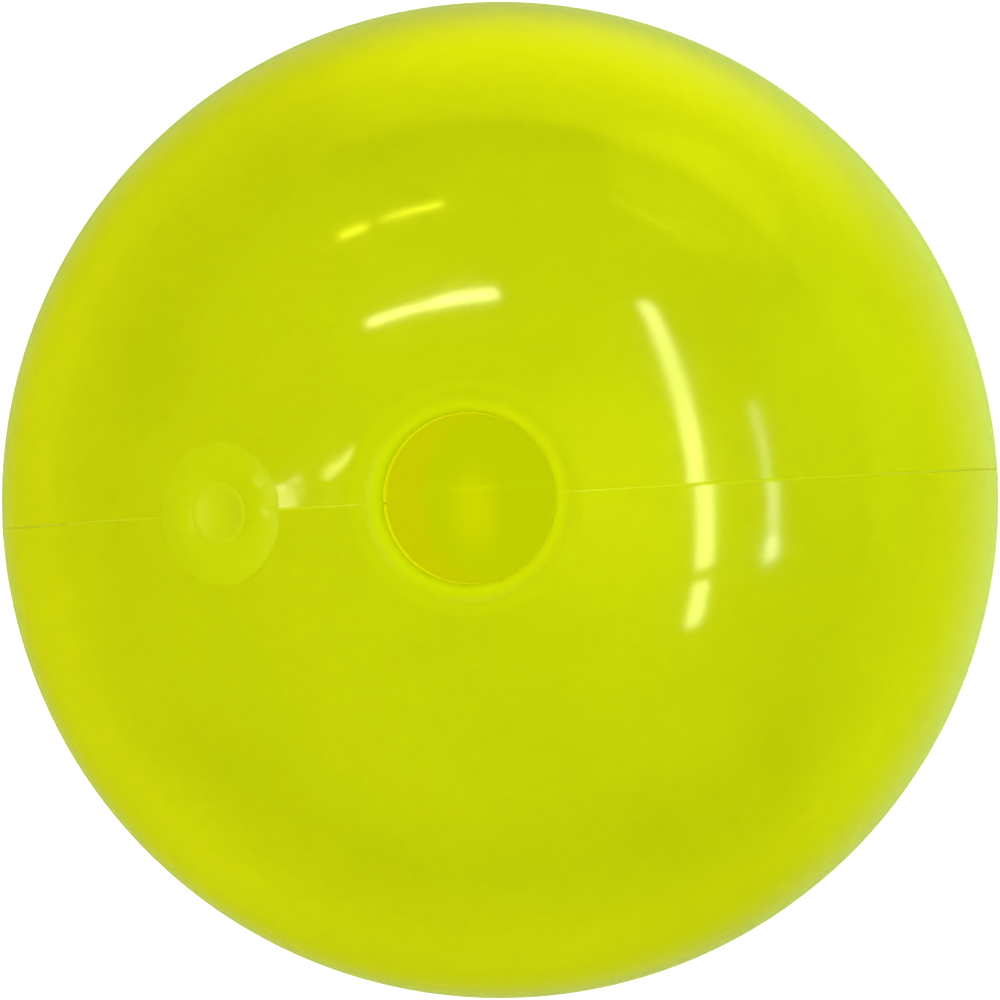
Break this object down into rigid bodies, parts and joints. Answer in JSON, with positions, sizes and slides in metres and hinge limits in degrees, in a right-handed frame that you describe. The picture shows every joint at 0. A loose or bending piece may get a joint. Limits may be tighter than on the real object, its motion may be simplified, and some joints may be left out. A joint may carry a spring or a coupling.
{
  "type": "hollow plastic court ball",
  "caption": "Hollow glossy translucent plastic ball, two half shells welded at a seam, with an open round-lipped hole and a plugged vent on the seam.",
  "frame": {"origin": "centre of the ball, on the seam plane", "axes": "+Z out through the open hole along its axis, +Y square to the seam plane into the rear half shell, and the vent plug on the seam towards -X from the hole"},
  "size_m": [0.074, 0.074, 0.0733],
  "materials": {
    "shell": "gloss",
    "weld": "gloss",
    "plug": "satin"
  },
  "bodies": {
    "root": {"front_half_shell": "shell", "rear_half_shell": "shell", "seam_weld": "weld", "vent_plug": "plug", "plug_weld_ring": "weld"}
  },
  "joints": []
}
